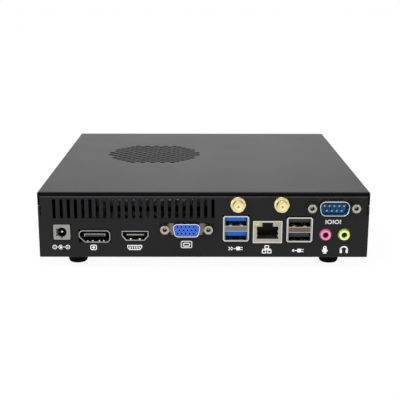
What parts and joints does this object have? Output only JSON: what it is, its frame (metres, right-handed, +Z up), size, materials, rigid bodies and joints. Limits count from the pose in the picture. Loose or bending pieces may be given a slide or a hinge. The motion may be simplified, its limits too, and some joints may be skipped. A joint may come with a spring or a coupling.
{
  "type": "fanless industrial pc",
  "caption": "Thin square steel computer case on rubber feet, round perforated vent in the cover, slotted rear panel with a row of sockets.",
  "frame": {"origin": "on the surface that the feet stand on, at the middle of the overall box", "axes": "+X to the right seen from the connectors, +Y from the connectors to the front panel, +Z up"},
  "size_m": [0.19, 0.1974, 0.045],
  "materials": {
    "cover_paint": "satin",
    "panel_paint": "satin",
    "foot_rubber": "matt",
    "screw_steel": "zinc plated",
    "board_green": "solder mask",
    "processor_green": "laminate",
    "pillar_brass": "turned",
    "cooler_aluminium": "extruded",
    "choke_grey": "pressed powder",
    "capacitor_tan": "moulded",
    "black_plastic": "moulded",
    "button_plastic": "moulded",
    "clear_plastic": "translucent",
    "inlet_plastic": "moulded",
    "shell_steel": "tin plated",
    "jackscrew_nickel": "nickel plated",
    "blue_plastic": "moulded",
    "bright_blue_plastic": "moulded",
    "teal_plastic": "moulded",
    "pink_plastic": "moulded",
    "lime_plastic": "moulded",
    "white_plastic": "moulded",
    "lime_window": "translucent",
    "green_window": "translucent",
    "contact_gold": "gold plated",
    "aerial_gold": "gold plated"
  },
  "bodies": {
    "chassis": {"antenna_insulators": "white_plastic", "antenna_jack_left": "aerial_gold", "antenna_jack_right": "aerial_gold", "antenna_nuts": "aerial_gold", "base_tray": "panel_paint", "board_pillars": "pillar_brass", "board_screws": "screw_steel", "capacitors": "capacitor_tan", "card_posts": "pillar_brass", "cell_holder": "black_plastic", "chokes": "choke_grey", "coin_cell": "screw_steel", "cooler": "cooler_aluminium", "cooler_screws": "screw_steel", "cover_screws": "screw_steel", "display_shell": "shell_steel", "display_tongue": "black_plastic", "drive": "board_green", "drive_socket": "black_plastic", "fast_contacts": "contact_gold", "fast_shell": "shell_steel", "fast_tongues": "bright_blue_plastic", "feet": "foot_rubber", "front_panel": "panel_paint", "headphone_socket": "lime_plastic", "inlet_housing": "inlet_plastic", "inlet_pin": "shell_steel", "lan_contacts": "contact_gold", "lan_insert": "black_plastic", "lan_light_left": "lime_window", "lan_light_right": "green_window", "lan_shield": "shell_steel", "light_pipes": "clear_plastic", "memory_module": "board_green", "memory_socket": "black_plastic", "mic_socket": "pink_plastic", "monitor_insert": "blue_plastic", "monitor_jackscrews": "jackscrew_nickel", "monitor_shell": "shell_steel", "motherboard": "board_green", "plain_contacts": "contact_gold", "plain_shell": "shell_steel", "plain_tongues": "black_plastic", "power_switch": "black_plastic", "processor": "processor_green", "radio": "board_green", "radio_socket": "black_plastic", "rear_panel": "panel_paint", "serial_insert": "teal_plastic", "serial_jackscrews": "jackscrew_nickel", "serial_pins": "shell_steel", "serial_shell": "shell_steel", "top_cover": "cover_paint", "video_shell": "shell_steel", "video_tongue": "black_plastic"},
    "button": {"power_button": "button_plastic"}
  },
  "joints": [
    {"name": "power_press", "type": "slide", "parent": "chassis", "child": "button", "axis": [0, -1, 0], "range_m": [0, 0.0008], "stiffness_N_per_m": 400}
  ]
}
